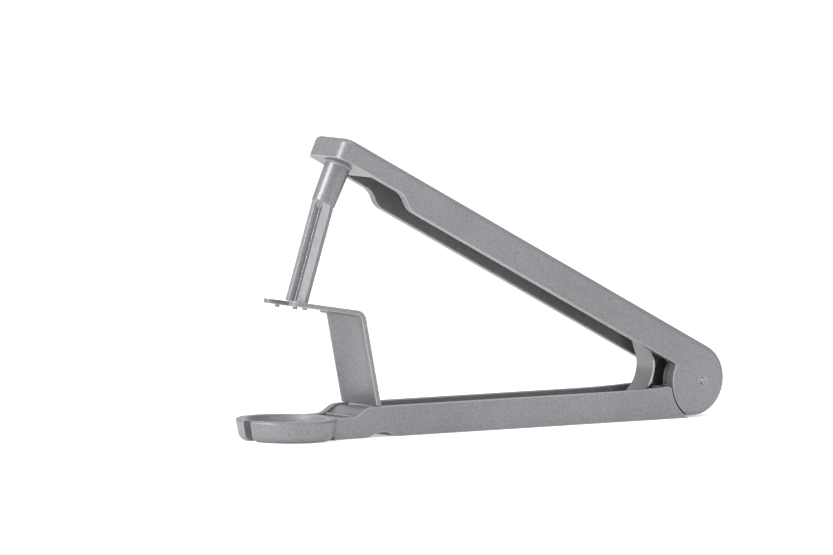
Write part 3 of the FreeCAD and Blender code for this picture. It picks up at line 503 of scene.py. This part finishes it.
class PITTER_OT_spring(bpy.types.Operator):
    """Cut the leaf spring into fine slices and finish its faces and sheared edges"""

    bl_idname = "pitter.spring"
    bl_label = "Leaf spring"

    def execute(self, context):
        look = context.scene.pitter_look
        band = bmesh.new()
        band.from_mesh(nodes["leaf_spring"].data)
        bmesh.ops.transform(band, matrix=nodes["leaf_spring"].matrix_world, verts=band.verts)
        bmesh.ops.remove_doubles(band, verts=band.verts, dist=SAME_POINT)
        low = min(vertex.co.z for vertex in band.verts)
        high = max(vertex.co.z for vertex in band.verts)
        slices = math.ceil((high - low) / look.spring_slice)
        for number in range(1, slices):
            level = Vector((0, 0, low + (high - low) * number / slices))
            bmesh.ops.bisect_plane(
                band, geom=band.verts[:] + band.edges[:] + band.faces[:], plane_co=level,
                plane_no=(0, 0, 1),
            )
        band.normal_update()
        for face in band.faces:
            face.material_index = 1 if abs(face.normal.y) > FACING else 0
        # Rolled strip: a grey, even sheen with fine lines along the band.
        rolled = bare_metal(
            "rolled_spring_steel", look.spring_metal, streak_mm=0.1, along="Z",
            rough_low=0.28, rough_high=0.42,
        )
        # The shears leave the strip's edges fresh and brighter than its faces.
        sheared = bare_metal(
            "sheared_spring_edge", look.spring_edge, streak_mm=0.08, along="Z",
            rough_low=0.2, rough_high=0.3,
        )
        spring = finished("spring_band", band, [rolled, sheared])
        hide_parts("leaf_spring")
        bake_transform(spring)
        return {"FINISHED"}


class PITTER_OT_stage(bpy.types.Operator):
    """Lay the floor, hang the lights and set the camera"""

    bl_idname = "pitter.stage"
    bl_label = "Floor, lights and camera"

    def execute(self, context):
        stage = context.scene.pitter_stage
        self.lay_floor(stage)
        self.hang_lights(context)
        self.set_camera(context, stage)
        context.scene.view_settings.view_transform = "Standard"
        return {"FINISHED"}

    def lay_floor(self, stage):
        material, tree = new_material("pale_matt_floor")
        matt = add_node(
            tree, "ShaderNodeBsdfDiffuse", (0, 0), inputs={"Color": tuple(stage.floor)}
        )
        # The far floor fades into the world's white, also where the metal mirrors it.
        lift = add_node(
            tree, "ShaderNodeMapRange", (-200, -160), inputs={4: stage.floor_lift},
            links={0: seen_directly(tree)},
        )
        glow = add_node(
            tree, "ShaderNodeEmission", (0, -160), links={"Strength": lift.outputs["Result"]}
        )
        both = add_node(
            tree, "ShaderNodeAddShader", (200, 0),
            links={0: matt.outputs["BSDF"], 1: glow.outputs["Emission"]},
        )
        add_node(
            tree, "ShaderNodeOutputMaterial", (400, 0), links={"Surface": both.outputs["Shader"]}
        )
        shape = bmesh.new()
        bmesh.ops.create_grid(shape, x_segments=1, y_segments=1, size=stage.floor_size / 2)
        floor = as_object("floor", shape, [material])

    def hang_lights(self, context):
        """Four soft square lamps in a white world."""
        # Name, place in metres, watts, side in metres.
        lamps = (
            ("key", (-1.05, 0.1, 0.72), 9.5, 0.5),
            ("left", (-1.15, -0.35, 0.2), 2.2, 0.4),
            ("front", (0.42, -1.15, 0.3), 1.0, 0.55),
            ("top", (0.1, -0.45, 1.35), 2.8, 0.9),
        )
        target = Vector((0, 0, 40 * MM))
        for name, place, power, side in lamps:
            lamp = bpy.data.lights.new(name, "AREA")
            lamp.energy = power
            lamp.size = side
            holder = bpy.data.objects.new(name, lamp)
            holder.location = place
            aim = target - Vector(place)
            holder.rotation_euler = aim.to_track_quat("-Z", "Y").to_euler()
            context.scene.collection.objects.link(holder)
        world = bpy.data.worlds.new("studio")
        world.use_nodes = True
        tree = world.node_tree
        tree.nodes.clear()
        white = add_node(
            tree, "ShaderNodeBackground", (-200, 0), inputs={"Color": grey(1.0), "Strength": 1.0}
        )
        add_node(tree, "ShaderNodeOutputWorld", (0, 0), links={"Surface": white.outputs["Background"]})
        context.scene.world = world

    def set_camera(self, context, stage):
        round_, rise, roll = stage.camera_turn, stage.camera_rise, stage.camera_roll
        right = Vector((math.cos(round_), -math.sin(round_), 0))
        up = Vector((
            math.sin(round_) * math.sin(rise),
            math.cos(round_) * math.sin(rise),
            math.cos(rise),
        ))
        ahead = Vector((
            math.sin(round_) * math.cos(rise),
            math.cos(round_) * math.cos(rise),
            -math.sin(rise),
        ))
        side = right * math.cos(roll) - up * math.sin(roll)
        top = right * math.sin(roll) + up * math.cos(roll)
        # The camera stands off from the cup's foot and looks at the picture's middle, which
        # leaves the foot at its own place in the picture.
        far = PIXELS_PER_MM * stage.camera_distance / MM
        place = Vector((stage.cup_place, 0, 0)) - ahead * stage.camera_distance
        across = PICTURE_WIDTH / 2 - FOOT_ACROSS
        above = FOOT_DOWN - PICTURE_HEIGHT / 2
        ahead = (ahead * far + side * across + top * above).normalized()
        side = (side - ahead * side.dot(ahead)).normalized()
        top = side.cross(ahead)
        camera = bpy.data.cameras.new("camera")
        camera.sensor_width = 36.0
        camera.lens = far / PICTURE_WIDTH * camera.sensor_width
        camera.clip_end = 100
        holder = bpy.data.objects.new("camera", camera)
        holder.matrix_world = Matrix((
            (side.x, top.x, -ahead.x, place.x),
            (side.y, top.y, -ahead.y, place.y),
            (side.z, top.z, -ahead.z, place.z),
            (0, 0, 0, 1),
        ))
        context.scene.collection.objects.link(holder)
        context.scene.camera = holder


class PITTER_PT_panel(bpy.types.Panel):
    """Sizes, colours and steps of the pitter"""

    bl_idname = "PITTER_PT_panel"
    bl_label = "Cherry pitter"
    bl_space_type = "VIEW_3D"
    bl_region_type = "UI"
    bl_category = "Pitter"

    def draw(self, context):
        scene = context.scene
        for group in (scene.pitter_look, scene.pitter_plunger, scene.pitter_stage):
            box = self.layout.box()
            for name in group.__annotations__:
                box.prop(group, name)
        for step in STEPS:
            self.layout.operator(step)


STEPS = (
    "pitter.castings",
    "pitter.plunger",
    "pitter.steel_parts",
    "pitter.spring",
    "pitter.stage",
)
CLASSES = (
    PitterLook,
    PitterPlunger,
    PitterStage,
    PITTER_OT_castings,
    PITTER_OT_plunger,
    PITTER_OT_steel_parts,
    PITTER_OT_spring,
    PITTER_OT_stage,
    PITTER_PT_panel,
)


def register():
    for item in CLASSES:
        bpy.utils.register_class(item)
    bpy.types.Scene.pitter_look = bpy.props.PointerProperty(type=PitterLook)
    bpy.types.Scene.pitter_plunger = bpy.props.PointerProperty(type=PitterPlunger)
    bpy.types.Scene.pitter_stage = bpy.props.PointerProperty(type=PitterStage)


def unregister():
    del bpy.types.Scene.pitter_stage
    del bpy.types.Scene.pitter_plunger
    del bpy.types.Scene.pitter_look
    for item in reversed(CLASSES):
        bpy.utils.unregister_class(item)


def main():
    register()
    bpy.ops.pitter.castings()
    bpy.ops.pitter.plunger()
    bpy.ops.pitter.steel_parts()
    bpy.ops.pitter.spring()
    bpy.ops.pitter.stage()


if __name__ == "__main__":
    main()
